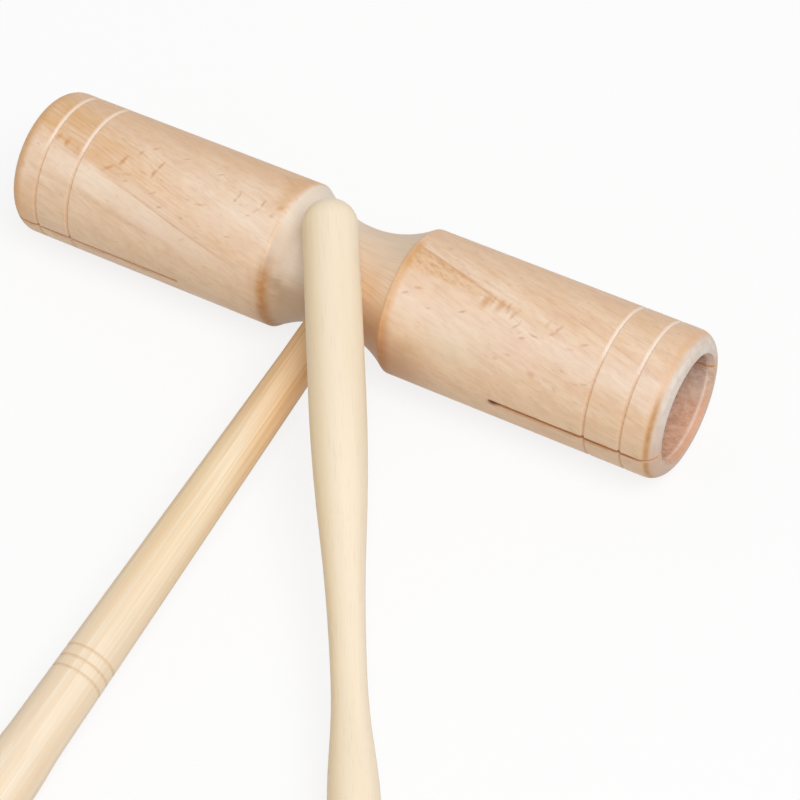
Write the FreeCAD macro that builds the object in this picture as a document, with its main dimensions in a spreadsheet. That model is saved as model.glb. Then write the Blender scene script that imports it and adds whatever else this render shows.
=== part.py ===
"""Two-tone wooden tone block with its handle and beater, as they lie on a table.

The block is turned from one blank: a low tube and a high tube, of different depth, with a cove
between them. The handle is glued into the cove, and the loose beater leans across the cove.
"""
import FreeCAD, Part
import math
import os
import Sketcher

# Driving lengths in millimetres
LENGTHS = {
    # Block, turned about its long axis
    "block_length": 185.0,
    "bore_radius": 13.45,
    "tube_wall": 5.65,
    "cove_length": 34.3,
    "cove_depth": 5.75,
    "edge_break": 0.5,
    # Rim of each tube, and the flare at the mouth of its bore
    "rim_setback": 4.15,
    "rim_bulge": 1.05,
    "rim_face_width": 1.0,
    "mouth_flare": 0.9,
    "mouth_depth": 1.8,
    # Bores, blind and of two depths, each with the dimple of the drill's point
    "low_bore_depth": 68.0,
    "high_bore_depth": 58.0,
    "dimple_radius": 2.0,
    "dimple_depth": 1.6,
    # V rings scribed near each end
    "ring_width": 1.2,
    "ring_depth": 0.5,
    "low_ring_inset": 8.4,
    "high_ring_inset": 9.1,
    "ring_spacing": 9.7,
    # Slits, sawn through both walls of a tube by a round blade
    "kerf": 0.9,
    "saw_radius": 60.0,
    "low_slit_length": 50.6,
    "high_slit_length": 44.3,
    # Handle, outwards from the floor of the cove, and its tenon in the block
    "shank_radius": 5.05,
    "handle_offset": 0.5,
    "socket_past_axis": 8.0,
    "glue_gap": 0.1,
    "socket_floor_gap": 0.5,
    "tenon_chamfer": 0.8,
    "shank_length": 16.3,
    "taper_length": 114.8,
    "taper_end_radius": 6.8,
    "swell_length": 16.8,
    "grip_radius": 7.5,
    "grip_length": 12.0,
    # Fine rings scribed on the handle's taper, the last one inset from its end
    "fine_ring_width": 0.6,
    "fine_ring_depth": 0.3,
    "fine_ring_pitch": 3.1,
    "fine_ring_inset": 13.3,
    # Beater, from the tip of its head
    "head_radius": 6.95,
    "head_length": 53.9,
    "neck_taper_length": 74.2,
    "neck_radius": 4.2,
    "flare_length": 35.6,
    "butt_radius": 6.15,
    "butt_length": 36.3,
    # Where the beater crosses the block's axis, and its clearances
    "beater_offset": 5.95,
    "beater_overhang": 2.85,
    "seat_gap": 0.3,
    "floor_gap": 0.1,
    # Overrun of every cut past the wood
    "overrun": 1.0,
}

# Angles in degrees: the slits' turn from the handle's plane, and the beater's swing in plan
ANGLES = {
    "low_slit_angle": 7.5,
    "high_slit_angle": -1.5,
    "beater_swing_angle": 31.85,
    "steepest_beater_angle": 45.0,
}

# Plain counts, and the smallest share of a length that still counts as one
FINE_RINGS = 3
BISECTIONS = 40
NEAR_SHARE = 1e-6

# Sizes that follow from the driving ones, as expressions on the sheet
HALF_LENGTH = "(sizes.block_length / 2)"
TUBE_RADIUS = "(sizes.bore_radius + sizes.tube_wall)"
COVE_HALF = "(sizes.cove_length / 2)"
COVE_FLOOR = f"({TUBE_RADIUS} - sizes.cove_depth)"
COVE_ARC = f"(({COVE_HALF} ^ 2 + sizes.cove_depth ^ 2) / (2 * sizes.cove_depth))"
MOUTH_RADIUS = "(sizes.bore_radius + sizes.mouth_flare)"
RIM_RADIUS = f"({MOUTH_RADIUS} + sizes.rim_face_width)"
RIM_DROP = f"({TUBE_RADIUS} - {RIM_RADIUS})"
RIM_HALF_CHORD_SQUARED = f"((sizes.rim_setback ^ 2 + {RIM_DROP} ^ 2) / 4)"
RIM_ARC = f"(({RIM_HALF_CHORD_SQUARED} + sizes.rim_bulge ^ 2) / (2 * sizes.rim_bulge))"
TENON_START = "(sizes.socket_floor_gap - sizes.socket_past_axis)"
TAPER_START = f"({COVE_FLOOR} + sizes.shank_length)"
TAPER_END = f"({TAPER_START} + sizes.taper_length)"
SWELL_END = f"({TAPER_END} + sizes.swell_length)"
GRIP_END = f"({SWELL_END} + sizes.grip_length)"
NECK = "(sizes.head_length + sizes.neck_taper_length)"
FLARE_END = f"({NECK} + sizes.flare_length)"
BUTT_END = f"({FLARE_END} + sizes.butt_length - sizes.butt_radius)"

X_AXIS = FreeCAD.Vector(1, 0, 0)
Z_AXIS = FreeCAD.Vector(0, 0, 1)


def make_sheet(doc):
    """Puts every driving size in its own named cell."""
    sheet = doc.addObject("Spreadsheet::Sheet", "sizes")
    for row, (name, value) in enumerate({**LENGTHS, **ANGLES}.items(), start=1):
        sheet.set(f"A{row}", name)
        sheet.set(f"B{row}", str(value))
        sheet.setAlias(f"B{row}", name)
    doc.recompute()
    return sheet


def number(owner, expression):
    """The value of an expression on the sheet."""
    value = owner.evalExpression(expression)
    return float(getattr(value, "Value", value))


# Sketches

def new_sketch(body, name, role="XY_Plane"):
    """A sketch on one of the body's own origin planes."""
    sketch = body.newObject("Sketcher::SketchObject", name)
    plane = next(feature for feature in body.Origin.OriginFeatures if feature.Role == role)
    sketch.AttachmentSupport = [(plane, "")]
    sketch.MapMode = "FlatFace"
    return sketch


def pin_coordinate(sketch, kind, point, expression):
    """Ties one coordinate of a sketch point to an expression, on whichever side of zero it lies."""
    value = number(sketch, expression)
    if abs(value) < NEAR_SHARE:
        axis_line = -2 if kind == "DistanceX" else -1
        sketch.addConstraint(Sketcher.Constraint("PointOnObject", *point, axis_line))
        return
    origin = (-1, 1)
    ends = (*origin, *point) if value > 0 else (*point, *origin)
    index = sketch.addConstraint(Sketcher.Constraint(kind, *ends, abs(value)))
    sketch.setExpression(f"Constraints[{index}]", expression if value > 0 else f"-({expression})")


def pin_radius(sketch, geometry, expression):
    """Ties the radius of a circle or an arc to an expression."""
    radius = number(sketch, expression)
    index = sketch.addConstraint(Sketcher.Constraint("Radius", geometry, radius))
    sketch.setExpression(f"Constraints[{index}]", expression)


def arc_between(start, end, radius, side):
    """The shorter arc from start to end, with its centre on the left or right of the way along."""
    half = (end - start) / 2
    rise = math.sqrt(max(radius**2 - half.Length**2, 0))
    left = FreeCAD.Vector(-half.y, half.x, 0).normalize()
    centre = start + half + left * (rise if side == "left" else -rise)
    angles = [math.atan2(point.y - centre.y, point.x - centre.x) for point in (start, end)]
    if side == "right":
        angles.reverse()
    return Part.ArcOfCircle(Part.Circle(centre, Z_AXIS, radius), *angles)


def draw_outline(sketch, corners):
    """Draws a closed outline through its corners.

    A corner is (x, y), or (x, y, radius, side) where the stretch that leaves it is an arc.
    """
    points = [FreeCAD.Vector(number(sketch, x), number(sketch, y), 0) for x, y, *_ in corners]
    stretches = []
    for index, (_, _, *arc) in enumerate(corners):
        start = points[index]
        end = points[(index + 1) % len(points)]
        if arc:
            radius, side = arc
            curve = arc_between(start, end, number(sketch, radius), side)
            geometry = sketch.addGeometry(curve, False)
            pin_radius(sketch, geometry, radius)
            stretches.append((geometry, 1, 2) if side == "left" else (geometry, 2, 1))
        else:
            geometry = sketch.addGeometry(Part.LineSegment(start, end), False)
            stretches.append((geometry, 1, 2))
    for index, (geometry, first, _) in enumerate(stretches):
        previous, _, previous_last = stretches[index - 1]
        joined = ("Coincident", previous, previous_last, geometry, first)
        sketch.addConstraint(Sketcher.Constraint(*joined))
        pin_coordinate(sketch, "DistanceX", (geometry, first), corners[index][0])
        pin_coordinate(sketch, "DistanceY", (geometry, first), corners[index][1])


def mirrored(corners):
    """The same outline on the other side of the sketch's Y axis, drawn the other way round."""
    flipped = []
    for index in range(len(corners) - 1, -1, -1):
        x, y = corners[index][:2]
        arc = corners[index - 1][2:] if index else ()
        flipped.append((f"(-{x})", y, *arc))
    return flipped


def ogee(start, end):
    """An S-curve from start to end of a turning: two equal arcs, level where they begin and end."""
    (start_x, start_y), (end_x, end_y) = start, end
    run = f"(({end_x} - {start_x}) / 2)"
    step = f"(({end_y} - {start_y}) / 2)"
    radius = f"(({run} ^ 2 + {step} ^ 2) / (2 * abs({step})))"
    middle = (f"({start_x} + {run})", f"({start_y} + {step})")
    return start_x, start_y, middle, radius


def ogee_corners(owner, start, end):
    """The two corners, each followed by an arc, that draw an ogee."""
    start_x, start_y, middle, radius = ogee(start, end)
    rises = number(owner, end[1]) > number(owner, start[1])
    sides = ("left", "right") if rises else ("right", "left")
    return [(start_x, start_y, radius, sides[0]), (*middle, radius, sides[1])]


# Features

def turned(body, kind, name, corners):
    """A full turn of an outline about the body's X axis, as a Revolution or a Groove."""
    sketch = new_sketch(body, f"{name}_outline")
    draw_outline(sketch, corners)
    body.Document.recompute()
    before = body.Shape.Volume if body.Tip else 0
    feature = body.newObject(f"PartDesign::{kind}", name)
    feature.Profile = sketch
    feature.ReferenceAxis = (sketch, ["H_Axis"])
    body.Document.recompute()
    if kind == "Groove":
        check_cut(body, name, before)
    return feature


def pocketed(body, name, sketch, length, side_type):
    """A pocket of a sketch, along the sketch's normal or to both sides of it."""
    body.Document.recompute()
    before = body.Shape.Volume
    pocket = body.newObject("PartDesign::Pocket", name)
    pocket.Profile = sketch
    pocket.SideType = side_type
    pocket.Reversed = side_type == "One side"
    pocket.setExpression("Length", length)
    body.Document.recompute()
    check_cut(body, name, before)


def check_cut(body, name, before):
    """Stops at a cut that points away from the wood and so removes nothing."""
    if not body.Shape.Volume < before:
        raise RuntimeError(f"{name} removes nothing")


# The block

def turn_blank(body):
    """The solid outside: two tubes with rounded rims, and the cove between them."""
    right = [
        (COVE_HALF, TUBE_RADIUS),
        (f"({HALF_LENGTH} - sizes.rim_setback)", TUBE_RADIUS, RIM_ARC, "right"),
        (HALF_LENGTH, RIM_RADIUS),
        (HALF_LENGTH, "0"),
    ]
    left = mirrored(right)
    left[-1] = (*left[-1], COVE_ARC, "left")
    return turned(body, "Revolution", "blank", left + right)


def break_cove_edges(body, blank):
    """Takes the sharpness off the two edges where the cove meets the tubes."""
    radius = number(body, TUBE_RADIUS)
    place = number(body, COVE_HALF)
    names = []
    for index, edge in enumerate(blank.Shape.Edges, start=1):
        curve = edge.Curve
        if not isinstance(curve, Part.Circle):
            continue
        at_wall = math.isclose(curve.Radius, radius, rel_tol=NEAR_SHARE)
        at_cove = math.isclose(abs(curve.Center.x), place, rel_tol=NEAR_SHARE)
        if at_wall and at_cove:
            names.append(f"Edge{index}")
    fillet = body.newObject("PartDesign::Fillet", "cove_edge_break")
    fillet.Base = (blank, names)
    fillet.setExpression("Radius", "sizes.edge_break")
    body.Document.recompute()


def v_cut(place, radius, width, depth):
    """The section of a V ring, cut from past the wood down to its depth."""
    reach = f"({width} / 2 * (1 + sizes.overrun / {depth}))"
    outside = f"({radius} + sizes.overrun)"
    return [
        (f"({place} - {reach})", outside),
        (f"({place} + {reach})", outside),
        (place, f"({radius} - {depth})"),
    ]


def scribe_rings(body, tube):
    """The two V rings near the end of a tube."""
    outer = f"({HALF_LENGTH} - sizes.{tube}_ring_inset)"
    inner = f"({outer} - sizes.ring_spacing)"
    for ring, place in (("outer", outer), ("inner", inner)):
        corners = v_cut(place, TUBE_RADIUS, "sizes.ring_width", "sizes.ring_depth")
        turned(body, "Groove", f"{tube}_{ring}_ring", on_tube(tube, corners))


def on_tube(tube, corners):
    """An outline drawn for the high tube, at +X, moved to the tube that it is for."""
    return mirrored(corners) if tube == "low" else corners


def drill_bore(body, tube):
    """A blind bore with a flat floor, the drill's dimple in it, and a flared mouth."""
    floor = f"({HALF_LENGTH} - sizes.{tube}_bore_depth)"
    past_end = f"({HALF_LENGTH} + sizes.overrun)"
    flare = "(sizes.mouth_flare / sizes.mouth_depth)"
    corners = [
        (f"({floor} - sizes.dimple_depth)", "0"),
        (floor, "sizes.dimple_radius"),
        (floor, "sizes.bore_radius"),
        (f"({HALF_LENGTH} - sizes.mouth_depth)", "sizes.bore_radius"),
        (past_end, f"({MOUTH_RADIUS} + sizes.overrun * {flare})"),
        (past_end, "0"),
    ]
    turned(body, "Groove", f"{tube}_bore", on_tube(tube, corners))


def saw_slit(body, tube):
    """A saw cut through both walls of a tube. Its inner end has the round of the blade."""
    reach = f"({TUBE_RADIUS} + sizes.overrun)"
    inner = f"({HALF_LENGTH} - sizes.{tube}_slit_length)"
    depth_at_wall = f"sqrt(sizes.saw_radius ^ 2 - {TUBE_RADIUS} ^ 2)"
    depth_at_reach = f"sqrt(sizes.saw_radius ^ 2 - {reach} ^ 2)"
    start = f"({inner} + {depth_at_wall} - {depth_at_reach})"
    past_end = f"({HALF_LENGTH} + sizes.overrun)"
    corners = [
        (start, f"(-{reach})", "sizes.saw_radius", "right"),
        (start, reach),
        (past_end, reach),
        (past_end, f"(-{reach})"),
    ]
    sketch = new_sketch(body, f"{tube}_slit_outline")
    draw_outline(sketch, on_tube(tube, corners))
    angle = f"sizes.{tube}_slit_angle"
    turn = FreeCAD.Rotation(X_AXIS, number(body, angle))
    sketch.AttachmentOffset = FreeCAD.Placement(FreeCAD.Vector(), turn)
    pocketed(body, f"{tube}_slit", sketch, "sizes.kerf", "Symmetric")


def drill_socket(body):
    """The blind hole for the handle's tenon, in through the cove from the -Y side."""
    radius = "(sizes.shank_radius + sizes.glue_gap)"
    sketch = new_sketch(body, "socket_outline", "XZ_Plane")
    centre = X_AXIS * number(body, "sizes.handle_offset")
    geometry = sketch.addGeometry(Part.Circle(centre, Z_AXIS, number(body, radius)), False)
    pin_coordinate(sketch, "DistanceX", (geometry, 3), "sizes.handle_offset")
    pin_coordinate(sketch, "DistanceY", (geometry, 3), "0")
    pin_radius(sketch, geometry, radius)
    sketch.setExpression("AttachmentOffset.Base.z", "-sizes.socket_past_axis")
    depth = f"(sizes.socket_past_axis + {TUBE_RADIUS})"
    pocketed(body, "handle_socket", sketch, depth, "One side")


def make_block(doc):
    """The turned, drilled and sawn block, about its own centre with its axis along X."""
    body = doc.addObject("PartDesign::Body", "tone_block")
    blank = turn_blank(body)
    break_cove_edges(body, blank)
    for tube in ("low", "high"):
        scribe_rings(body, tube)
        drill_bore(body, tube)
        saw_slit(body, tube)
    drill_socket(body)
    return body


# The handle and the beater, each along its own X axis

def make_handle(doc):
    """The turned handle. Its X runs outwards from the block's axis, so the tenon begins below zero."""
    body = doc.addObject("PartDesign::Body", "handle")
    chamfered = "(sizes.shank_radius - sizes.tenon_chamfer)"
    swell = ogee_corners(body, (TAPER_END, "sizes.taper_end_radius"), (SWELL_END, "sizes.grip_radius"))
    turned(body, "Revolution", "handle_turning", [
        (TENON_START, "0"),
        (TENON_START, chamfered),
        (f"({TENON_START} + sizes.tenon_chamfer)", "sizes.shank_radius"),
        (TAPER_START, "sizes.shank_radius"),
        *swell,
        (SWELL_END, "sizes.grip_radius"),
        (GRIP_END, "sizes.grip_radius", "sizes.grip_radius", "right"),
        (f"({GRIP_END} + sizes.grip_radius)", "0"),
    ])
    widening = "((sizes.taper_end_radius - sizes.shank_radius) / sizes.taper_length)"
    for ring in range(FINE_RINGS):
        inset = f"(sizes.fine_ring_inset + {ring} * sizes.fine_ring_pitch)"
        radius = f"(sizes.taper_end_radius - {inset} * {widening})"
        corners = v_cut(f"({TAPER_END} - {inset})", radius, "sizes.fine_ring_width", "sizes.fine_ring_depth")
        turned(body, "Groove", f"fine_ring_{ring + 1}", corners)
    return body


def make_beater(doc):
    """The turned beater, from the tip of its round head at zero to its rounded butt."""
    body = doc.addObject("PartDesign::Body", "beater")
    neck = (NECK, "sizes.neck_radius")
    turned(body, "Revolution", "beater_turning", [
        ("0", "0", "sizes.head_radius", "right"),
        ("sizes.head_radius", "sizes.head_radius"),
        *ogee_corners(body, ("sizes.head_length", "sizes.head_radius"), neck),
        *ogee_corners(body, neck, (FLARE_END, "sizes.butt_radius")),
        (FLARE_END, "sizes.butt_radius"),
        (BUTT_END, "sizes.butt_radius", "sizes.butt_radius", "right"),
        (f"({BUTT_END} + sizes.butt_radius)", "0"),
    ])
    return body


# How the pieces lie

def lay_block_and_handle(block, handle):
    """Rests both tubes and the end of the grip on the table, with the handle out along -Y."""
    height = number(block, TUBE_RADIUS)
    fall = height - number(block, "sizes.grip_radius")
    tilt = math.degrees(math.asin(fall / number(block, GRIP_END)))
    block.Placement = FreeCAD.Placement(Z_AXIS * height, FreeCAD.Rotation(X_AXIS, tilt))
    offset = X_AXIS * number(handle, "sizes.handle_offset")
    outwards = FreeCAD.Placement(offset, FreeCAD.Rotation(X_AXIS, FreeCAD.Vector(0, -1, 0)))
    handle.Placement = block.Placement * outwards


def beater_placement(beater, slope):
    """The beater over the block's axis, falling at a slope in degrees until its butt is at the table."""
    swing = math.radians(number(beater, "sizes.beater_swing_angle"))
    fall = math.radians(slope)
    level = math.cos(fall)
    direction = FreeCAD.Vector(math.sin(swing) * level, -math.cos(swing) * level, -math.sin(fall))
    overhang = number(beater, "sizes.beater_overhang")
    butt_height = number(beater, "sizes.butt_radius + sizes.floor_gap")
    height = butt_height + (number(beater, BUTT_END) - overhang) * math.sin(fall)
    crossing = FreeCAD.Vector(-number(beater, "sizes.beater_offset"), 0, height)
    return FreeCAD.Placement(crossing - direction * overhang, FreeCAD.Rotation(X_AXIS, direction))


def lay_beater(beater, block):
    """Lowers the beater's head, with its butt at the table, until it is a seat gap off the cove."""
    head_start = X_AXIS * number(beater, "sizes.head_radius")
    head_end = X_AXIS * number(beater, "sizes.head_length")
    wanted = number(beater, "sizes.head_radius + sizes.seat_gap")
    low = 0
    high = number(beater, "sizes.steepest_beater_angle")
    for _ in range(BISECTIONS):
        slope = (low + high) / 2
        placement = beater_placement(beater, slope)
        head_axis = Part.makeLine(placement.multVec(head_start), placement.multVec(head_end))
        if block.Shape.distToShape(head_axis)[0] < wanted:
            low = slope
        else:
            high = slope
    beater.Placement = beater_placement(beater, high)


def centre_footprint(bodies):
    """Moves everything so that the origin is under the middle of it all, on the table."""
    box = FreeCAD.BoundBox()
    for body in bodies:
        box.add(body.Shape.optimalBoundingBox(False, False))
    middle = FreeCAD.Vector(box.Center.x, box.Center.y, 0)
    for body in bodies:
        placement = body.Placement
        body.Placement = FreeCAD.Placement(placement.Base - middle, placement.Rotation)


def check_model(doc, bodies):
    """Stops at a failed feature, or at a piece that isn't one valid solid."""
    for feature in doc.Objects:
        if {"Invalid", "Error"} & set(feature.State):
            raise RuntimeError(f"{feature.Label} failed: {feature.State}")
    for body in bodies:
        shape = body.Shape
        if shape.isNull() or not shape.isValid() or len(shape.Solids) != 1:
            raise RuntimeError(f"{body.Label} isn't one valid solid")


def main():
    doc = FreeCAD.newDocument("tone_block_with_beater")
    make_sheet(doc)
    block = make_block(doc)
    handle = make_handle(doc)
    beater = make_beater(doc)
    bodies = (block, handle, beater)
    lay_block_and_handle(block, handle)
    lay_beater(beater, block)
    centre_footprint(bodies)
    doc.recompute()
    check_model(doc, bodies)
    os.makedirs("parts", exist_ok=True)
    for body in bodies:
        body.Shape.exportStep(f"parts/{body.Label}.step")
        print(f"{body.Label}: {body.Shape.Volume:.1f} mm3, at {body.Placement.Base}")


main()
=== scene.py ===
"""Looks of a turned wooden tone block, its glued handle and the loose beater that lies across it.

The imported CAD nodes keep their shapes. This script gives each its wood, and adds the camera, the
lights and a pale floor. Woods are worked out in millimetres along and around each piece's own axis.
"""

import math

import bpy
import numpy as np
from mathutils import Matrix, Vector


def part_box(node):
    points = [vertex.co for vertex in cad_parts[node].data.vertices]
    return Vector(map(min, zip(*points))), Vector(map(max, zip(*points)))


MM = 0.001
FRAME_AXES = ((1, 0, 0), (0, 1, 0), (0, 0, 1))

# Camera, where the photograph was taken from: metres and degrees, its lens in picture widths
AIM = (0.026053, 0.051214, 0.019291)
AIM_DISTANCE = 0.7776
AZIMUTH = 33.49
ELEVATION = 50.26
ROLL = -4.85
FOCAL_IN_FRAMES = 4.0175
SENSOR_WIDTH = 36.0

# Studio, in metres: a wide soft lamp on the high tube's side, and an even sky
LAMP_TOWARDS = (0.55, -0.35, 1.0)
LAMP_DISTANCE = 2.4
LAMP_WIDTH = 1.65
LAMP_LEVEL = 0.62
SKY_LEVEL = 0.43

# Floor, in metres: FLOOR_SHARE of what is seen is its lit colour, and the rest glows. It fades to
# white between the two last distances.
FLOOR_RADIUS = 3.0
FLOOR_SIDES = 96
FLOOR_COLOUR = 0.68
FLOOR_SHARE = 0.28
FLOOR_GLOW = 1.12
FADE_START = 0.30
FADE_END = 1.20

# The block in millimetres from its middle, and in degrees round its axis: 0 faces -Y, 90 is up
BORE_RADIUS = 13.45
MOUTH_DEPTH = 1.8
SHOULDER = 17.15
RING_PLACES = (-84.1, -74.4, 73.7, 83.4)
RING_REACH = 0.9
DOME_START = 88.35
SLIT_HALF_KERF = 0.45
LOW_SLIT_START = -41.9
HIGH_SLIT_START = 48.2
LOW_SLIT_TURN = -11.34
HIGH_SLIT_TURN = -2.34

# What faces the camera fades out underneath, between these two turns
UNDERNEATH = (-165.0, -105.0)

# The grain winds round the block by this many degrees a millimetre. Its lines bend on the low tube,
# and those above FAN_TURN spread towards the tube's end. LINE_PITCH is their distance there.
GRAIN_TWIST = 0.7
HIGH_TWIST = 0.78
LOW_DROP = (0.30, 0.0034)
FAN = (0.01444, 0.00012)
FAN_TURN = 62.0
LINE_PITCH = 1.7

# How far, in millimetres, slow noise shifts the grain and fine noise frays the marks
GRAIN_SWAY = 4.0
SKIN_WOBBLE = 1.6

# The lane between the low tube's orange part and its pale part
LOW_EDGE_LANE = 62.8

# The high tube's wedge: degrees that its foot climbs a millimetre, and the place of its tip
WEDGE_SLOPE = -0.66
WEDGE_TIP = 54.0

# The handle's fine rings, in millimetres from the tip of its grip
FINE_RINGS = (49.6, 52.7, 55.8)
FINE_RING_REACH = 0.45

# Bare wood: its shine, and the depth of its pores and streaks in metres
WOOD_ROUGHNESS = 0.5
BLOCK_SPECULAR = 0.4
BLOCK_RELIEF = 0.00003
STICK_RELIEF = 0.00002


def srgb(red, green, blue):
    """A colour of 0 to 255 as the linear light that the shaders take."""
    def linear(value):
        share = value / 255
        return share / 12.92 if share <= 0.04045 else ((share + 0.055) / 1.055) ** 2.4
    return (linear(red), linear(green), linear(blue), 1.0)


# Marks on the block, each (along, turn, length, width, angle, bend, strength): the place of its
# middle, its size in millimetres, its angle to the block's axis in degrees, and its bend. Most are
# short chatter marks. The last six orange ones are smears beside the slits.
ORANGE_MARKS = (
    (-82.7, 71.5, 3.4, 1.9, 80, 0.0, 0.60),
    (-79.7, 69.5, 3.6, 1.8, 84, 0.0, 0.95),
    (-76.2, 69.0, 3.0, 1.5, 95, 0.0, 0.40),
    (-63.1, 72.6, 4.6, 2.0, 76, 0.0, 1.00),
    (-66.2, 62.6, 4.8, 1.5, 38, 0.08, 0.85),
    (-60.6, 63.2, 3.8, 1.2, 10, 0.0, 0.50),
    (-53.2, 79.5, 3.6, 1.5, 88, 0.0, 0.85),
    (-54.0, 71.5, 4.6, 1.4, 76, -0.08, 0.90),
    (-56.6, 68.4, 4.0, 1.2, -10, 0.0, 0.45),
    (-38.7, 62.0, 4.0, 1.2, 14, 0.0, 0.60),
    (-42.6, 61.0, 2.6, 1.0, 10, 0.0, 0.40),
    (-23.4, 80.5, 3.8, 1.3, 84, 0.0, 0.85),
    (-24.2, 73.5, 3.2, 1.1, 60, 0.0, 0.45),
    (-18.8, 82.5, 3.4, 2.2, 40, 0.0, 0.75),
    (-19.6, 74.5, 3.2, 1.8, 60, 0.0, 0.50),
    (-22.2, 113.5, 12.0, 3.4, -31, 0.0, 0.34),
    (41.0, 72.6, 6.4, 3.4, 76, 0.0, 0.85),
    (42.4, 74.4, 5.2, 1.2, 80, 0.0, 0.60),
    (44.8, 73.6, 5.4, 3.2, 76, 0.0, 0.80),
    (46.7, 74.6, 4.4, 1.4, 74, 0.0, 0.65),
    (48.6, 71.0, 4.2, 1.2, 66, 0.0, 0.50),
    (53.1, 56.8, 2.8, 1.2, 22, 0.0, 0.80),
    (57.7, 73.4, 3.2, 1.4, 84, 0.0, 0.40),
    (59.6, 67.2, 2.8, 1.4, 30, 0.0, 0.60),
    (60.6, 72.0, 4.4, 1.3, 74, -0.08, 0.65),
    (68.1, 68.2, 3.0, 1.3, 22, 0.0, 0.60),
    (65.6, 62.0, 2.8, 1.1, 15, 0.0, 0.40),
    (36.6, 59.0, 2.8, 0.9, 30, 0.0, 0.90),
    (23.8, 63.9, 3.2, 1.1, 2, 0.0, 0.60),
    (58.2, 34.9, 3.4, 1.9, -10, 0.0, 0.60),
    (48.2, 36.0, 2.2, 1.7, 0, 0.0, 0.40),
    (-53.0, -13.2, 16.0, 3.0, 0, 0.0, 0.80),
    (-66.5, -13.0, 13.0, 2.8, 0, 0.0, 0.75),
    (-78.0, -12.8, 10.0, 2.4, 0, 0.0, 0.50),
    (-86.6, -12.6, 7.0, 2.4, 0, 0.0, 0.60),
    (60.0, -4.2, 26.0, 2.6, 0, 0.0, 0.75),
    (78.0, -4.0, 14.0, 2.4, 0, 0.0, 0.55),
)
BROWN_MARKS = (
    (-60.0, 83.5, 3.0, 1.0, 84, 0.0, 0.60),
    (-57.2, 92.4, 1.9, 1.1, 40, 0.0, 0.75),
    (-48.4, 93.6, 2.2, 1.0, 30, 0.0, 0.55),
    (-38.0, 91.0, 2.4, 1.0, 35, 0.0, 0.60),
    (-30.4, 80.0, 3.6, 1.0, 90, 0.0, 0.65),
    (-30.6, 74.8, 1.8, 1.3, 80, 0.0, 0.85),
    (-25.6, 67.2, 2.2, 0.9, 20, 0.0, 0.60),
    (-60.3, 57.7, 2.8, 1.2, 25, 0.0, 0.50),
    (-51.8, 57.0, 2.4, 1.1, 25, 0.0, 0.50),
    (-48.7, 49.3, 2.6, 1.0, 24, 0.0, 0.75),
    (-42.2, 47.0, 2.2, 1.0, 24, 0.0, 0.55),
    (-40.6, 31.4, 2.6, 1.2, 15, 0.0, 0.30),
    (-28.7, 46.4, 2.4, 1.0, 10, 0.0, 0.50),
    (47.0, 71.0, 2.6, 0.9, 75, 0.0, 0.55),
    (48.4, 67.6, 2.4, 1.1, 60, 0.0, 0.60),
    (49.3, 72.0, 3.2, 0.9, 72, 0.0, 0.45),
    (50.6, 63.6, 2.6, 1.0, 45, 0.0, 0.60),
    (51.0, 67.4, 2.2, 0.8, 60, 0.0, 0.40),
    (52.0, 60.0, 2.2, 0.8, 40, 0.0, 0.40),
    (55.6, 61.2, 3.6, 1.0, -12, 0.0, 0.80),
    (20.9, 56.8, 2.6, 1.0, 22, 0.0, 0.65),
    (28.1, 52.6, 2.6, 1.0, 10, 0.0, 0.40),
    (51.3, 41.8, 2.4, 0.9, -12, 0.0, 0.55),
    (65.6, 45.5, 2.2, 0.9, -12, 0.0, 0.55),
    (71.6, 41.8, 2.6, 0.9, -8, 0.0, 0.50),
)


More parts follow.
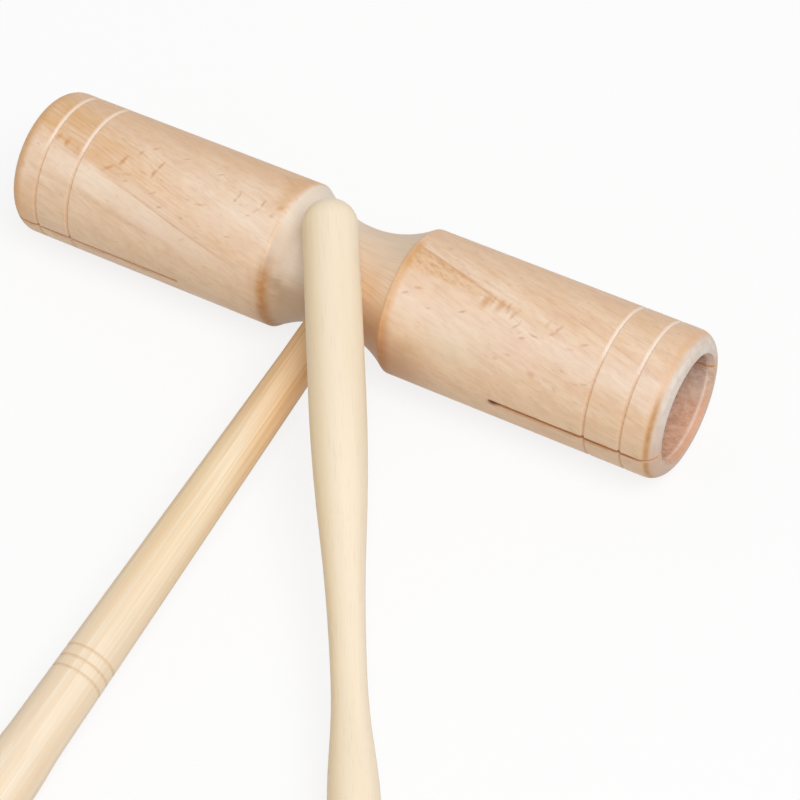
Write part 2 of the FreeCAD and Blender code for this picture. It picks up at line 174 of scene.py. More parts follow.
class Look:
    """A material whose node tree is written as short formulas. Most calls give an output socket."""

    def __init__(self, name):
        self.material = bpy.data.materials.new(name)
        self.material.use_nodes = True
        self.nodes = self.material.node_tree.nodes
        self.links = self.material.node_tree.links
        self.shader = self.nodes["Principled BSDF"]

    def put(self, socket, value):
        """Joins an output to an input socket, or writes a plain value in it."""
        if isinstance(value, bpy.types.NodeSocket):
            self.links.new(value, socket)
        else:
            socket.default_value = value

    def node(self, kind, **settings):
        made = self.nodes.new(kind)
        for name, value in settings.items():
            setattr(made, name, value)
        return made

    def math(self, operation, *values):
        made = self.node("ShaderNodeMath", operation=operation)
        for socket, value in zip(made.inputs, values):
            self.put(socket, value)
        return made.outputs[0]

    def vector(self, operation, *values):
        made = self.node("ShaderNodeVectorMath", operation=operation)
        for socket, value in zip(made.inputs, values):
            self.put(socket, value)
        scalar = operation in ("DOT_PRODUCT", "LENGTH")
        return made.outputs["Value" if scalar else "Vector"]

    def combine(self, x, y, z):
        made = self.node("ShaderNodeCombineXYZ")
        for socket, value in zip(made.inputs, (x, y, z)):
            self.put(socket, value)
        return made.outputs[0]

    def split(self, position):
        made = self.node("ShaderNodeSeparateXYZ")
        self.put(made.inputs[0], position)
        return list(made.outputs)

    def sum(self, first, *others):
        total = first
        for other in others:
            total = self.math("ADD", total, other)
        return total

    def product(self, first, *others):
        total = first
        for other in others:
            total = self.math("MULTIPLY", total, other)
        return total

    def most(self, first, *others):
        total = first
        for other in others:
            total = self.math("MAXIMUM", total, other)
        return total

    def rise(self, value, low, high):
        """0 below low and 1 above high, smooth in between; high may be the smaller one."""
        made = self.node("ShaderNodeMapRange", interpolation_type="SMOOTHSTEP")
        for socket, number in zip(made.inputs, (value, low, high, 0.0, 1.0)):
            self.put(socket, number)
        return made.outputs[0]

    def near(self, value, middle, reach):
        """1 at middle, falling to 0 at reach on both sides."""
        off = self.math("ABSOLUTE", self.math("SUBTRACT", value, middle))
        return self.rise(off, reach, 0.0)

    def between(self, value, low, high, soft):
        """1 from low to high, with edges as soft as that."""
        return self.product(self.rise(value, low - soft, low + soft),
                            self.rise(value, high + soft, high - soft))

    def noise(self, position, size, seed, detail=2.0, roughness=0.5):
        """Soft noise about 0.5, in cells of that size along the position's three axes."""
        cells = self.vector("DIVIDE", position, size)
        made = self.node("ShaderNodeTexNoise")
        self.put(made.inputs["Vector"], self.vector("ADD", cells, (seed, 2.7 * seed, -1.3 * seed)))
        self.put(made.inputs["Scale"], 1.0)
        self.put(made.inputs["Detail"], detail)
        self.put(made.inputs["Roughness"], roughness)
        return made.outputs["Fac"]

    def cloud(self, position, size, seed, low, high, detail=2.0, roughness=0.5):
        """Patches of soft noise: 0 where the noise is below low and 1 where it is above high."""
        return self.rise(self.noise(position, size, seed, detail, roughness), low, high)

    def mix(self, amount, first, second):
        """The first colour where the amount is 0 and the second where it is 1."""
        made = self.node("ShaderNodeMix", data_type="RGBA")
        self.put(made.inputs["Factor"], amount)
        first_socket, second_socket = [socket for socket in made.inputs if socket.type == "RGBA"]
        self.put(first_socket, first)
        self.put(second_socket, second)
        return next(socket for socket in made.outputs if socket.type == "RGBA")

    def tinted(self, colour, tint, *shares):
        """The colour with a tint of 0 to 255 laid over it, as strongly as all shares together."""
        return self.mix(self.product(*shares), colour, srgb(*tint))

    def in_frame(self, origin, axes):
        """The surface point in millimetres from origin, along three axes told in the frame."""
        place = self.node("ShaderNodeTexCoord").outputs["Object"]
        offset = self.vector("SUBTRACT", place, tuple(origin))
        scaled = self.vector("MULTIPLY", offset, (1 / MM, 1 / MM, 1 / MM))
        return self.combine(*[self.vector("DOT_PRODUCT", scaled, tuple(axis)) for axis in axes])

    def distance(self, y, z):
        """The distance of a place (y, z) from the first axis."""
        return self.math("SQRT", self.sum(self.product(y, y), self.product(z, z)))

    def stroke(self, skin, place, size, angle, bend):
        """1 along a short bent stroke on the unrolled skin, falling to 0 at its edges."""
        along, across = math.cos(math.radians(angle)), math.sin(math.radians(angle))
        offset = self.vector("SUBTRACT", skin, (*place, 0.0))
        run = self.vector("DOT_PRODUCT", offset, (along, across, 0.0))
        side = self.vector("DOT_PRODUCT", offset, (-across, along, 0.0))
        if bend:
            side = self.math("MULTIPLY_ADD", self.product(run, run), -bend, side)
        share = self.vector("DIVIDE", self.combine(run, side, 0.0), (size[0] / 2, size[1] / 2, 1.0))
        return self.rise(self.vector("LENGTH", share), 1.0, 0.1)

    def twisted(self, position, along, degrees):
        """A position turned back about the first axis, by those degrees a millimetre along it."""
        made = self.node("ShaderNodeVectorRotate", rotation_type="X_AXIS")
        self.put(made.inputs["Vector"], position)
        self.put(made.inputs["Angle"], self.product(along, -math.radians(degrees)))
        return made.outputs[0]

    def glow(self, strength):
        """A white surface that shines by itself."""
        made = self.node("ShaderNodeEmission")
        self.put(made.inputs["Strength"], strength)
        return made.outputs[0]

    def faded(self, share, first, second):
        """The first shader where the share is 0 and the second where it is 1."""
        made = self.node("ShaderNodeMixShader")
        for socket, value in zip(made.inputs, (share, first, second)):
            self.put(socket, value)
        return made.outputs[0]

    def finish(self, colour, height, relief):
        """The material as bare wood of that colour, with a bump that is relief metres deep."""
        bump = self.node("ShaderNodeBump")
        self.put(bump.inputs["Height"], height)
        self.put(bump.inputs["Distance"], relief)
        self.put(self.shader.inputs["Base Color"], colour)
        self.put(self.shader.inputs["Roughness"], WOOD_ROUGHNESS)
        self.put(self.shader.inputs["Normal"], bump.outputs[0])
        return self.material


def axes_about(direction):
    """Three square axes, the first along direction, the second level and the third upward."""
    first = Vector(direction).normalized()
    second = Vector((0, 0, 1)).cross(first).normalized()
    return first, second, first.cross(second)


def long_axis(node):
    """A turned stick's middle in metres and its direction towards -Y, from its own vertices."""
    points = np.array([vertex.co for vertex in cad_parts[node].data.vertices])
    middle = points.mean(axis=0)
    spread = np.linalg.eigh(np.cov((points - middle).T))[1]
    direction = Vector(spread[:, -1])
    if direction.y > 0:
        direction.negate()
    return Vector(middle), direction


def box_middle(node):
    low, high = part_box(node)
    return (low + high) / 2


class BlockWood(Look):
    """The block's wood, with its coordinates in millimetres and degrees.

    along and turn tell a point along the block's axis and round it, and reach is its distance from
    the middle along that axis. skin is the unrolled outside, spun tells a point on the ends by its
    radius and direction, and grain follows the fibres. A lane is a turn that stays the same along a
    line of the grain. wear_and_light_patches is an uneven strength, for wear and burn marks, and
    also for a painted highlight at the bores' mouths and painted shade low by the high shoulder.
    """

    def __init__(self):
        super().__init__("BlockWood")
        low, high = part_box("tone_block")
        self.half_length = (high.x - low.x) / 2 / MM
        self.arc_per_degree = math.radians((high.z - low.z) / 2 / MM)
        self.place = self.in_frame((low + high) / 2, FRAME_AXES)
        self.along, depth, height = self.split(self.place)
        self.reach = self.math("ABSOLUTE", self.along)
        self.radius = self.distance(depth, height)
        forward = self.product(depth, -1.0)
        self.turn = self.math("DEGREES", self.math("ARCTAN2", height, forward))
        self.low_side = self.rise(self.along, -SHOULDER, -SHOULDER - 1.0)
        self.high_side = self.rise(self.along, SHOULDER, SHOULDER + 1.0)
        self.low_front = self.rise(self.facing(-15.0), 0.5, 0.93)
        wobble = self.noise(self.place, (2.2, 2.2, 2.2), 21.0)
        off = self.product(self.math("SUBTRACT", wobble, 0.5), SKIN_WOBBLE)
        arc = self.product(self.turn, self.arc_per_degree)
        self.skin = self.combine(self.sum(self.along, off), self.sum(arc, off), 0.0)
        grain = self.twisted(self.place, self.along, GRAIN_TWIST)
        slow = self.noise(grain, (40.0, 14.0, 14.0), 3.0)
        self.sway = self.product(self.math("SUBTRACT", slow, 0.5), GRAIN_SWAY)
        self.grain = self.vector("ADD", grain, self.combine(0.0, self.sway, self.sway))
        # Uneven patches of strength: for wear and burn marks, and for some painted highlight and
        # painted shade.
        patch_noise = self.noise(self.place, (2.4, 1.8, 1.8), 41.0)
        self.wear_and_light_patches = self.sum(0.35, self.product(patch_noise, 1.1))
        self.spun = self.combine(self.radius, self.product(self.facing(0.0), BORE_RADIUS),
                                 self.product(self.facing(90.0), BORE_RADIUS))
        self.low_lane = self.fanned_lane()
        self.past_shoulder = self.math("SUBTRACT", self.along, SHOULDER)
        self.high_lane = self.math("MULTIPLY_ADD", self.past_shoulder, HIGH_TWIST, self.turn)

    def fanned_lane(self):
        """The turn that each grain line of the low tube has at the tube's end."""
        reach = self.sum(self.along, self.half_length)
        drop = self.product(reach, self.math("MULTIPLY_ADD", reach, LOW_DROP[1], LOW_DROP[0]))
        over = self.sum(self.turn, drop, -FAN_TURN)
        closing = self.product(reach, self.math("MULTIPLY_ADD", reach, -FAN[1], FAN[0]))
        above = self.math("DIVIDE", self.math("MAXIMUM", over, 0.0),
                          self.math("SUBTRACT", 1.0, closing))
        return self.sum(above, self.math("MINIMUM", over, 0.0), FAN_TURN)

    def facing(self, turn):
        """1 on the side that faces that turn, falling to -1 on the other side."""
        level, up = math.cos(math.radians(turn)), math.sin(math.radians(turn))
        outward = self.vector("DOT_PRODUCT", self.place, (0.0, -level, up))
        return self.math("DIVIDE", outward, self.radius)

    def lower_front(self, start, full):
        """0 above the start turn and 1 below the full one, fading out again underneath."""
        return self.product(self.rise(self.turn, start, full), self.rise(self.turn, *UNDERNEATH))

    def ruled(self, lane, seed):
        """Growth lines along the lanes, unevenly spaced and broken up."""
        uneven = self.noise(self.grain, (26.0, 3.0, 3.0), seed + 0.5)
        shift = self.sum(self.product(self.sway, 0.35), self.product(uneven, 3.2))
        arc = self.math("MULTIPLY_ADD", lane, self.arc_per_degree, shift)
        wave = self.math("SINE", self.product(arc, math.tau / LINE_PITCH))
        strength = self.cloud(self.grain, (9.0, 1.2, 1.2), seed, 0.34, 0.68)
        return self.product(self.rise(wave, -0.6, 1.0), strength)

    def marks(self, marks):
        """The strongest at each point of a table of marks."""
        strokes = []
        for along, turn, length, width, angle, bend, strength in marks:
            place = (along, turn * self.arc_per_degree)
            stroke = self.stroke(self.skin, place, (length, width), angle, bend)
            strokes.append(self.product(stroke, strength))
        return self.most(*strokes)

    def plain(self):
        """Beech all over: warm and cool lanes, thin lines and short flecks along the grain."""
        tone = self.cloud(self.grain, (60.0, 7.0, 7.0), 11.0, 0.35, 0.65)
        colour = self.mix(tone, srgb(246, 215, 184), srgb(250, 225, 200))
        # Warmer on the lower front: partly the wood's tone, partly painted warm shade from light
        # thrown back off the floor.
        colour = self.tinted(colour, (242, 210, 173), self.low_front, 0.8)
        behind = self.rise(self.facing(150.0), 0.42, 0.90)
        colour = self.tinted(colour, (241, 202, 165), behind, 0.8)
        ochre = self.cloud(self.grain, (10.0, 3.6, 3.6), 12.0, 0.36, 0.68, 3.0)
        colour = self.tinted(colour, (228, 186, 140), ochre, 0.32)
        pink = self.cloud(self.grain, (12.0, 4.2, 4.2), 14.0, 0.42, 0.70, 3.0)
        colour = self.tinted(colour, (234, 192, 168), pink, 0.30)
        lines = self.cloud(self.grain, (26.0, 0.7, 0.7), 5.0, 0.48, 0.72)
        colour = self.tinted(colour, (226, 180, 136), lines, 0.22)
        streaks = self.cloud(self.grain, (6.0, 0.42, 0.42), 8.0, 0.50, 0.75)
        colour = self.tinted(colour, (216, 168, 126), streaks, 0.24)
        mottle = self.cloud(self.grain, (3.0, 1.1, 1.1), 9.0, 0.40, 0.75)
        colour = self.tinted(colour, (212, 170, 134), mottle, 0.26)
        flecks = self.cloud(self.grain, (2.0, 0.4, 0.5), 2.0, 0.64, 0.76)
        colour = self.tinted(colour, (176, 132, 98), flecks, 0.38)
        self.relief = self.sum(self.product(streaks, 0.6), self.product(flecks, -1.0))
        return colour

    def low_tube(self, colour):
        """The low tube: orange brushed lines that fan out to its end, above a paler lane."""
        lane = self.sum(self.low_lane, self.product(self.rise(self.along, -38.0, -64.0), -5.0))
        above = self.between(lane, 63.5, 116.0, 4.0)
        blotch = self.cloud(self.grain, (11.0, 3.0, 3.0), 13.0, 0.34, 0.66, 3.0)
        brushed = self.product(self.between(lane, 69.0, 116.0, 6.0),
                               self.rise(self.along, -44.0, -86.0),
                               self.sum(0.35, self.product(blotch, 0.9)))
        colour = self.tinted(colour, (230, 184, 132), brushed, 0.80)
        top = self.product(self.low_side, self.rise(self.facing(135.0), 0.72, 1.0))
        colour = self.tinted(colour, (226, 180, 130), top, 0.24)
        soft = self.product(self.near(self.along, -50.0, 20.0), self.near(lane, 70.0, 9.0))
        colour = self.tinted(colour, (248, 227, 204), soft, 0.46)
        ruled = self.product(self.ruled(self.low_lane, 15.0), above,
                             self.rise(self.along, -20.0, -46.0))
        orange = self.product(ruled, self.rise(self.along, -42.0, -66.0))
        colour = self.tinted(colour, (214, 156, 100), orange, 0.26)
        colour = self.tinted(colour, (200, 156, 116), ruled, 0.12)
        edge = self.product(self.near(lane, LOW_EDGE_LANE, 1.9),
                            self.between(self.along, -62.0, -26.0, 10.0))
        colour = self.tinted(colour, (196, 150, 108), edge, self.wear_and_light_patches, 0.40)
        middle = self.between(self.along, -78.0, -36.0, 14.0)
        pale = self.product(self.rise(lane, LOW_EDGE_LANE, 60.0),
                            self.rise(self.low_lane, 41.0, 54.0), self.low_side,
                            self.sum(0.30, self.product(middle, 0.70)))
        colour = self.tinted(colour, (250, 229, 206), pale, 0.52)
        right = self.product(self.low_side, self.rise(self.along, -48.0, -28.0),
                             self.near(self.turn, 65.0, 24.0))
        colour = self.tinted(colour, (251, 233, 214), right, 0.45)
        below = self.product(self.near(self.low_lane, 44.5, 4.4),
                             self.rise(self.along, -38.0, -60.0))
        return self.tinted(colour, (208, 168, 128), below, self.wear_and_light_patches, 0.26)

    def high_tube(self, colour):
        """The high tube: an ochre wedge at its shoulder, pale below it, a paler band on the lamp
        side that is partly painted sheen, and a brown corner by the shoulder that is partly the
        wood and partly painted shade.
        """
        ruled = self.product(self.ruled(self.high_lane, 16.0), self.high_side,
                             self.between(self.high_lane, 66.0, 126.0, 6.0))
        colour = self.tinted(colour, (212, 164, 122), ruled, 0.15)
        vein = self.product(self.near(self.high_lane, 121.0, 1.5),
                            self.rise(self.along, 40.0, 52.0))
        colour = self.tinted(colour, (212, 156, 120), vein, self.wear_and_light_patches, 0.34)
        foot = self.math("MULTIPLY_ADD", self.past_shoulder, WEDGE_SLOPE, self.high_lane)
        wedge = self.product(self.high_side, self.rise(self.high_lane, 99.4, 97.0),
                             self.rise(foot, 73.5, 80.0), self.rise(self.along, WEDGE_TIP, 24.0))
        colour = self.tinted(colour, (234, 190, 142), wedge, 0.62)
        mottle = self.cloud(self.grain, (2.6, 1.1, 1.1), 19.0, 0.40, 0.66, 4.0, 0.6)
        colour = self.tinted(colour, (200, 146, 96), wedge, mottle, 0.56)
        edge = self.product(self.near(self.high_lane, 97.6, 2.0), self.high_side,
                            self.rise(self.along, WEDGE_TIP, 44.0))
        colour = self.tinted(colour, (200, 140, 88), edge, self.wear_and_light_patches, 0.46)
        # A paler band round the side that faces the lamp, all along the high tube: partly pale wood
        # and partly a painted sheen.
        light = self.product(self.high_side, self.near(self.turn, 55.0, 24.0))
        colour = self.tinted(colour, (250, 230, 216), light, 0.34)
        pale = self.product(self.near(self.along, 22.5, 7.0), self.near(self.turn, 40.0, 24.0))
        colour = self.tinted(colour, (251, 236, 214), pale, 0.34)
        cool = self.product(self.near(self.along, 36.0, 14.0), self.near(self.turn, 32.0, 32.0))
        colour = self.tinted(colour, (248, 240, 220), cool, 0.34)
        # Brown low on the front by the shoulder, fading towards the tube's end: partly the wood's
        # colour and partly painted shade by the cove and under the beater.
        below = self.product(self.rise(self.along, 16.4, 17.2), self.rise(self.along, 36.0, 19.0),
                             self.rise(self.facing(-25.0), 0.56, 0.94))
        colour = self.tinted(colour, (190, 136, 92), below, 0.70)
        # The corner by the shoulder, browner still: partly the wood's own brown, partly painted
        # shade.
        corner = self.product(self.between(self.along, 16.6, 19.4, 1.8),
                              self.lower_front(42.0, 14.0))
        return self.tinted(colour, (182, 120, 66), corner, self.wear_and_light_patches, 0.80)

    def cove(self, colour):
        """The cove: tan towards the high tube; paler towards the low tube, partly a painted
        highlight, with patches of painted shade by its shoulder; painted shade on its lower front.
        """
        inside = self.rise(self.reach, SHOULDER, SHOULDER - 0.8)
        # The half towards the low tube is paler: partly the wood, partly a painted highlight where
        # the cove faces the lamp.
        pale_side = self.rise(self.along, 2.0, -8.0)
        upper = self.rise(self.facing(100.0), 0.55, 0.95)
        tan = self.mix(upper, srgb(242, 208, 168), srgb(235, 212, 186))
        near_high = self.product(self.rise(self.along, 10.5, 15.5),
                                 self.near(self.turn, 60.0, 32.0))
        tan = self.tinted(tan, (250, 226, 198), near_high)
        tan = self.tinted(tan, (241, 225, 207), pale_side)
        near_low = self.product(self.rise(self.along, -10.5, -14.0), self.lower_front(82.0, 58.0))
        tan = self.tinted(tan, (216, 192, 168), near_low, 0.75)
        # Painted shade on the cove's lower front, browner towards the high tube.
        shaded = self.mix(pale_side, srgb(190, 140, 98), srgb(210, 178, 142))
        tan = self.mix(self.product(self.low_front, 0.75), tan, shaded)
        # Painted shade in patches near the low shoulder, browner in the curve there.
        shade_patches = self.cloud(self.grain, (9.0, 3.0, 3.0), 31.0, 0.38, 0.68, 3.0)
        patchy_shade = self.product(shade_patches, self.near(self.along, -14.0, 7.0),
                             self.near(self.turn, 20.0, 34.0))
        tan = self.tinted(tan, (168, 140, 106), patchy_shade, 0.56)
        lane = self.math("MULTIPLY_ADD", self.along, GRAIN_TWIST, self.turn)
        swept = self.combine(self.along, self.product(lane, self.arc_per_degree), 0.0)
        lines = self.cloud(swept, (14.0, 0.8, 1.0), 33.0, 0.46, 0.70)
        strength = self.math("MULTIPLY_ADD", pale_side, -0.16, 0.24)
        tan = self.tinted(tan, (200, 152, 112), lines, strength)
        return self.mix(inside, colour, tan)

    def edges(self, colour):
        """Ochre on the shoulders where the tubes meet the cove."""
        high = self.product(self.near(self.along, 17.8, 2.2),
                            self.between(self.turn, 76.0, 102.0, 6.0))
        colour = self.tinted(colour, (222, 168, 112), high, self.wear_and_light_patches, 0.80)
        front = self.product(self.near(self.along, 17.9, 2.0),
                             self.between(self.turn, 12.0, 80.0, 8.0))
        colour = self.tinted(colour, (224, 166, 100), front, self.wear_and_light_patches, 0.58)
        low = self.product(self.near(self.along, -16.5, 2.6), self.lower_front(54.0, 24.0))
        colour = self.tinted(colour, (188, 132, 78), low, self.wear_and_light_patches, 0.92)
        around = self.product(self.near(self.along, -18.6, 3.4), self.lower_front(40.0, 20.0))
        colour = self.tinted(colour, (206, 152, 100), around, self.wear_and_light_patches, 0.26)
        top = self.product(self.near(self.along, -19.4, 3.8), self.rise(self.turn, 70.0, 84.0),
                           self.low_side)
        return self.tinted(colour, (224, 172, 116), top, self.wear_and_light_patches, 0.46)

    def rims(self, colour):
        """The domed ends: greyish near the bore and whiter towards the top, partly the end grain
        and partly a painted sheen, ochre where they begin, orange at the low one.
        """
        streaks = self.cloud(self.spun, (1.0, 5.0, 5.0), 43.0, 0.36, 0.66, 3.0)
        patches = self.cloud(self.place, (2.6, 2.2, 2.2), 45.0, 0.36, 0.68, 3.0)
        # Whiter towards the top: partly the end grain's own colour and partly a painted sheen.
        upper = self.rise(self.facing(90.0), -0.2, 0.75)
        rim = self.mix(upper, srgb(216, 184, 160), srgb(234, 224, 214))
        rim = self.tinted(rim, (204, 174, 150), streaks, 0.30)
        rim = self.tinted(rim, (206, 172, 150), patches, 0.30)
        pale = self.product(self.rise(self.reach, 89.4, 91.4), self.rise(self.radius, 18.8, 17.6))
        colour = self.mix(self.product(pale, 0.95), colour, rim)
        start = self.product(self.near(self.reach, 90.0, 1.8), self.rise(self.along, 0.0, 1.0))
        colour = self.tinted(colour, (218, 170, 122), start, 0.40)
        high = self.product(self.near(self.along, 90.4, 1.1), self.lower_front(68.0, 40.0))
        colour = self.tinted(colour, (194, 138, 80), high, self.wear_and_light_patches, 0.92)
        before = self.product(self.rise(self.along, -81.0, -88.0),
                              self.rise(self.facing(0.0), 0.8, 1.0))
        colour = self.tinted(colour, (232, 172, 106), before, 0.36)
        low = self.rise(self.along, -DOME_START + 0.2, -DOME_START - 2.0)
        return self.tinted(colour, (232, 178, 118), low, self.wear_and_light_patches, 0.85)

    def grooves(self, colour):
        """The scribed rings: paler above, partly fresh cut wood and partly a painted highlight
        where light reaches in, and brownish lower down, a painted shade in the groove.
        """
        cut = self.most(*[self.near(self.along, place, RING_REACH) for place in RING_PLACES])
        # Painted highlight in the upper part of the rings, on paler fresh cut wood.
        above = self.rise(self.facing(125.0), 0.33, 0.63)
        colour = self.tinted(colour, (249, 233, 219), cut, above, 0.92)
        # Painted shade along the lower part of the rings.
        flank = self.most(*[self.near(self.along, place - 0.15, 0.55) for place in RING_PLACES])
        below = self.product(flank, self.rise(above, 1.0, 0.0))
        return self.tinted(colour, (214, 176, 142), below, 0.54)

    def slits(self, colour):
        """The walls of the slits, and the wood next to them browner: partly burnt by the saw,
        partly painted shade from the dark gap.
        """
        patchy = self.cloud(self.place, (6.0, 6.0, 6.0), 61.0, 0.34, 0.60)
        ends = self.rise(self.reach, self.half_length - 2.0, self.half_length - 8.0)
        slits = ((-1, LOW_SLIT_TURN, LOW_SLIT_START, 0.46, srgb(242, 200, 158)),
                 (1, HIGH_SLIT_TURN, HIGH_SLIT_START, 0.70, srgb(218, 162, 112)))
        for side, turn, start, burn_and_shade, tint in slits:
            level, lean = math.cos(math.radians(turn)), math.sin(math.radians(turn))
            off = self.math("ABSOLUTE", self.vector("DOT_PRODUCT", self.place, (0.0, lean, level)))
            reach = self.rise(self.along, start - 0.5 * side, start + 0.5 * side)
            # Browner next to the slits: partly saw burn, partly painted shade from the dark gap.
            beside = self.rise(off, SLIT_HALF_KERF + 0.7, SLIT_HALF_KERF - 0.2)
            burnt_and_shaded = self.product(beside, reach, patchy, ends)
            colour = self.tinted(colour, (186, 126, 84), burnt_and_shaded, burn_and_shade)
            wall = self.product(self.rise(off, SLIT_HALF_KERF + 0.05, SLIT_HALF_KERF), reach)
            colour = self.mix(wall, colour, self.mix(ends, srgb(232, 190, 154), tint))
        notch = self.product(self.near(self.along, HIGH_SLIT_START + 1.0, 2.2),
                             self.near(self.turn, -3.4, 4.2))
        return self.tinted(colour, (118, 76, 46), notch, 0.85)

    def bores(self, colour):
        """The drilled walls, greyer than the outside, with a painted highlight line where the mouth
        flares.
        """
        inside = self.product(self.rise(self.radius, BORE_RADIUS + 0.35, BORE_RADIUS + 0.1),
                              self.rise(self.reach, SHOULDER + 3.0, SHOULDER + 5.0))
        drilled = self.cloud(self.place, (1.8, 1.4, 1.4), 51.0, 0.36, 0.66, 4.0, 0.6)
        wall = self.mix(drilled, srgb(190, 150, 130), srgb(226, 196, 176))
        specks = self.cloud(self.place, (0.8, 0.6, 0.6), 53.0, 0.56, 0.72)
        wall = self.tinted(wall, (240, 222, 206), specks, 0.40)
        low_wall = self.rise(self.facing(-100.0), 0.35, 0.95)
        outward = self.rise(self.reach, self.half_length - 13.0, self.half_length - 2.0)
        wall = self.tinted(wall, (232, 172, 134), low_wall, outward, 0.5)
        far_wall = self.product(self.rise(self.facing(-158.0), 0.90, 1.0), outward)
        wall = self.tinted(wall, (238, 214, 196), far_wall, 0.5)
        flare = self.product(self.rise(self.radius, BORE_RADIUS + 1.1, BORE_RADIUS + 0.6),
                             self.rise(self.reach, self.half_length - 3.0, self.half_length - 2.5))
        flared = self.mix(drilled, srgb(214, 176, 150), srgb(234, 206, 184))
        flared = self.tinted(flared, (220, 150, 110), low_wall, 0.75)
        colour = self.mix(self.product(flare, 0.75), colour, flared)
        colour = self.mix(inside, colour, wall)
        # A painted highlight along the edge where the mouth flares.
        lip_highlight = self.product(self.near(self.reach, self.half_length - MOUTH_DEPTH, 0.8),
                           self.rise(self.radius, BORE_RADIUS + 0.8, BORE_RADIUS + 0.4),
                           self.rise(self.facing(-115.0), 0.1, 0.8))
        return self.tinted(colour, (244, 226, 210), lip_highlight, self.wear_and_light_patches, 0.5)

    def dressed(self):
        """The whole material, laid on from the plain wood to the slits with their burn and painted
        shade.
        """
        colour = self.high_tube(self.low_tube(self.plain()))
        colour = self.tinted(colour, (206, 144, 86), self.marks(ORANGE_MARKS), 0.70)
        colour = self.tinted(colour, (172, 122, 84), self.marks(BROWN_MARKS), 0.54)
        colour = self.rims(self.edges(self.cove(colour)))
        colour = self.bores(self.grooves(colour))
        self.put(self.shader.inputs["Specular IOR Level"], BLOCK_SPECULAR)
        return self.finish(self.slits(colour), self.relief, BLOCK_RELIEF)


def handle_wood():
    """Pale straight wood with soft lengthwise bands, browner by the block, partly the wood and
    partly painted warm shade, paler at the grip.
    """
    wood = Look("HandleWood")
    middle, direction = long_axis("handle")
    low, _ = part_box("handle")
    tip = (Vector((middle.x, low.y, middle.z)) - middle).dot(direction) / MM
    place = wood.in_frame(middle, axes_about(direction))
    along, right, up = wood.split(place)
    tone = wood.cloud(place, (300.0, 2.6, 2.6), 4.0, 0.36, 0.64, 1.0)
    colour = wood.mix(tone, srgb(245, 217, 178), srgb(254, 238, 210))
    bands = wood.cloud(place, (160.0, 0.9, 0.9), 7.0, 0.44, 0.60, 1.0)
    colour = wood.tinted(colour, (234, 200, 154), bands, 0.28)
    lines = wood.cloud(place, (50.0, 0.45, 0.45), 6.0, 0.52, 0.70)
    colour = wood.tinted(colour, (218, 178, 130), lines, 0.20)
    sideways = wood.math("DIVIDE", right, wood.distance(right, up))
    outer = wood.rise(sideways, 0.35, 1.0)
    colour = wood.tinted(colour, (226, 186, 132), outer, 0.34)
    inner = wood.rise(sideways, 0.2, -0.35)
    colour = wood.tinted(colour, (248, 206, 144), inner, 0.36)
    # Browner and warmer by the block: partly the wood and partly painted shade where the beater and
    # block shade the handle.
    near_block = wood.rise(wood.sum(along, wood.product(outer, -14.0)), tip - 112.0, tip - 152.0)
    colour = wood.tinted(colour, (232, 186, 132), near_block, 0.70)
    colour = wood.tinted(colour, (200, 152, 102), near_block, bands, 0.30)
    near_grip = wood.rise(along, tip - 105.0, tip - 45.0)
    colour = wood.tinted(colour, (252, 240, 224), near_grip, 0.34)
    scribed = wood.most(*[wood.near(along, tip - ring, FINE_RING_REACH) for ring in FINE_RINGS])
    colour = wood.tinted(colour, (200, 158, 112), scribed, 0.36)
    return wood.finish(colour, lines, STICK_RELIEF)


def beater_wood():
    """Cream wood with faint short streaks, and a painted warm shade on the side that turns away
    from the lamp.
    """
    wood = Look("BeaterWood")
    middle, direction = long_axis("beater")
    place = wood.in_frame(middle, axes_about(direction))
    _, right, up = wood.split(place)
    tone = wood.cloud(place, (90.0, 4.0, 4.0), 4.0, 0.35, 0.65)
    colour = wood.mix(tone, srgb(249, 231, 202), srgb(252, 235, 208))
    left = wood.math("DIVIDE", right, wood.product(wood.distance(right, up), -1.0))
    # Painted warm shade on the side away from the lamp.
    colour = wood.tinted(colour, (250, 224, 178), wood.rise(left, 0.1, 0.95), 0.75)
    lines = wood.cloud(place, (9.0, 0.35, 0.35), 6.0, 0.55, 0.75)
    colour = wood.tinted(colour, (214, 192, 158), lines, 0.20)
    return wood.finish(colour, lines, STICK_RELIEF)


def dress(node, material):
    """Gives a CAD node its material, in place of the plain one that it was packed with."""
    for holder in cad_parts[node].material_slots:
        holder.material = material


def add_camera():
    data = bpy.data.cameras.new("Camera")
    data.sensor_width = SENSOR_WIDTH
    data.lens = FOCAL_IN_FRAMES * SENSOR_WIDTH
    turn = Matrix.Rotation(math.radians(AZIMUTH), 4, "Z")
    tilt = Matrix.Rotation(math.radians(90 - ELEVATION), 4, "X")
    roll = Matrix.Rotation(math.radians(ROLL), 4, "Z")
    back = Matrix.Translation((0, 0, AIM_DISTANCE))
    camera = bpy.data.objects.new("Camera", data)
    bpy.context.scene.collection.objects.link(camera)
    camera.matrix_world = Matrix.Translation(AIM) @ turn @ tilt @ roll @ back
    bpy.context.scene.camera = camera


def add_lamp():
    """A lamp whose light on a white surface that faces it renders as LAMP_LEVEL of white."""
    data = bpy.data.lights.new("Softbox", "AREA")
    data.shape = "DISK"
    data.size = LAMP_WIDTH
    data.energy = LAMP_LEVEL * (math.pi * LAMP_DISTANCE) ** 2
    lamp = bpy.data.objects.new("Softbox", data)
    bpy.context.scene.collection.objects.link(lamp)
    towards = Vector(LAMP_TOWARDS).normalized()
    lamp.location = box_middle("tone_block") + towards * LAMP_DISTANCE
    lamp.rotation_mode = "QUATERNION"
    lamp.rotation_quaternion = (-towards).to_track_quat("-Z", "Y")


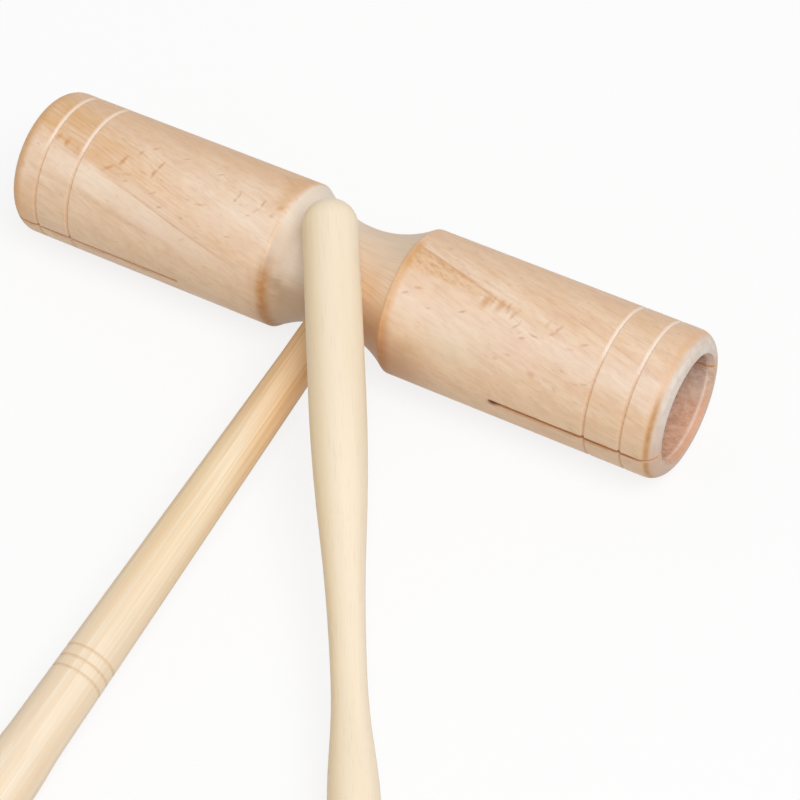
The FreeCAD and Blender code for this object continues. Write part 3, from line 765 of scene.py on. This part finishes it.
def seen_directly(nodes, links):
    """1 for rays from the camera and for mirrored or refracted ones, and 0 for the rest."""
    path = nodes.new("ShaderNodeLightPath")
    total = path.outputs["Is Camera Ray"]
    for name in ("Is Glossy Ray", "Is Transmission Ray"):
        step = nodes.new("ShaderNodeMath")
        step.operation = "MAXIMUM"
        links.new(total, step.inputs[0])
        links.new(path.outputs[name], step.inputs[1])
        total = step.outputs[0]
    return total


def add_sky():
    world = bpy.data.worlds.new("Sky")
    bpy.context.scene.world = world
    world.use_nodes = True
    nodes, links = world.node_tree.nodes, world.node_tree.links
    level = nodes.new("ShaderNodeMapRange")
    links.new(seen_directly(nodes, links), level.inputs["Value"])
    level.inputs["To Min"].default_value = SKY_LEVEL
    level.inputs["To Max"].default_value = 1.0
    nodes["Background"].inputs["Color"].default_value = (1, 1, 1, 1)
    links.new(level.outputs[0], nodes["Background"].inputs["Strength"])


def add_floor():
    """A pale round floor that keeps a faint shadow near the object and fades to plain white.

    What is seen of it is mostly a glow of its own, so that the shadow stays light.
    """
    look = Look("Floor")
    place = look.in_frame((0, 0, 0), FRAME_AXES)
    out = look.rise(look.vector("LENGTH", place), FADE_START / MM, FADE_END / MM)
    seen = seen_directly(look.nodes, look.links)
    look.put(look.shader.inputs["Base Color"], (FLOOR_COLOUR, FLOOR_COLOUR, FLOOR_COLOUR, 1))
    look.put(look.shader.inputs["Roughness"], 1.0)
    look.put(look.shader.inputs["Specular IOR Level"], 0.0)
    lit = look.faded(look.product(seen, 1 - FLOOR_SHARE), look.shader.outputs[0],
                     look.glow(FLOOR_GLOW))
    surface = look.faded(look.product(seen, out), lit, look.glow(1.0))
    look.put(look.nodes["Material Output"].inputs["Surface"], surface)
    corners = [Matrix.Rotation(math.tau * i / FLOOR_SIDES, 3, "Z") @ Vector((FLOOR_RADIUS, 0, 0))
               for i in range(FLOOR_SIDES)]
    mesh = bpy.data.meshes.new("Floor")
    mesh.from_pydata(corners, [], [range(FLOOR_SIDES)])
    mesh.materials.append(look.material)
    floor = bpy.data.objects.new("Floor", mesh)
    bpy.context.scene.collection.objects.link(floor)


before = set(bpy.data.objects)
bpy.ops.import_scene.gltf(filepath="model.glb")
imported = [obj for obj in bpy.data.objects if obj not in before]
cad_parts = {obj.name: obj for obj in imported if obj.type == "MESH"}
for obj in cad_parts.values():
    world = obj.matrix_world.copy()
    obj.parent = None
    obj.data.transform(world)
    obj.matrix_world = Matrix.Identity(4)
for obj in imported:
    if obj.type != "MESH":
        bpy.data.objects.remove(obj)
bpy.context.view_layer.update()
bpy.context.scene.view_settings.view_transform = "Standard"
add_camera()
add_lamp()
add_sky()
add_floor()
dress("tone_block", BlockWood().dressed())
dress("handle", handle_wood())
dress("beater", beater_wood())
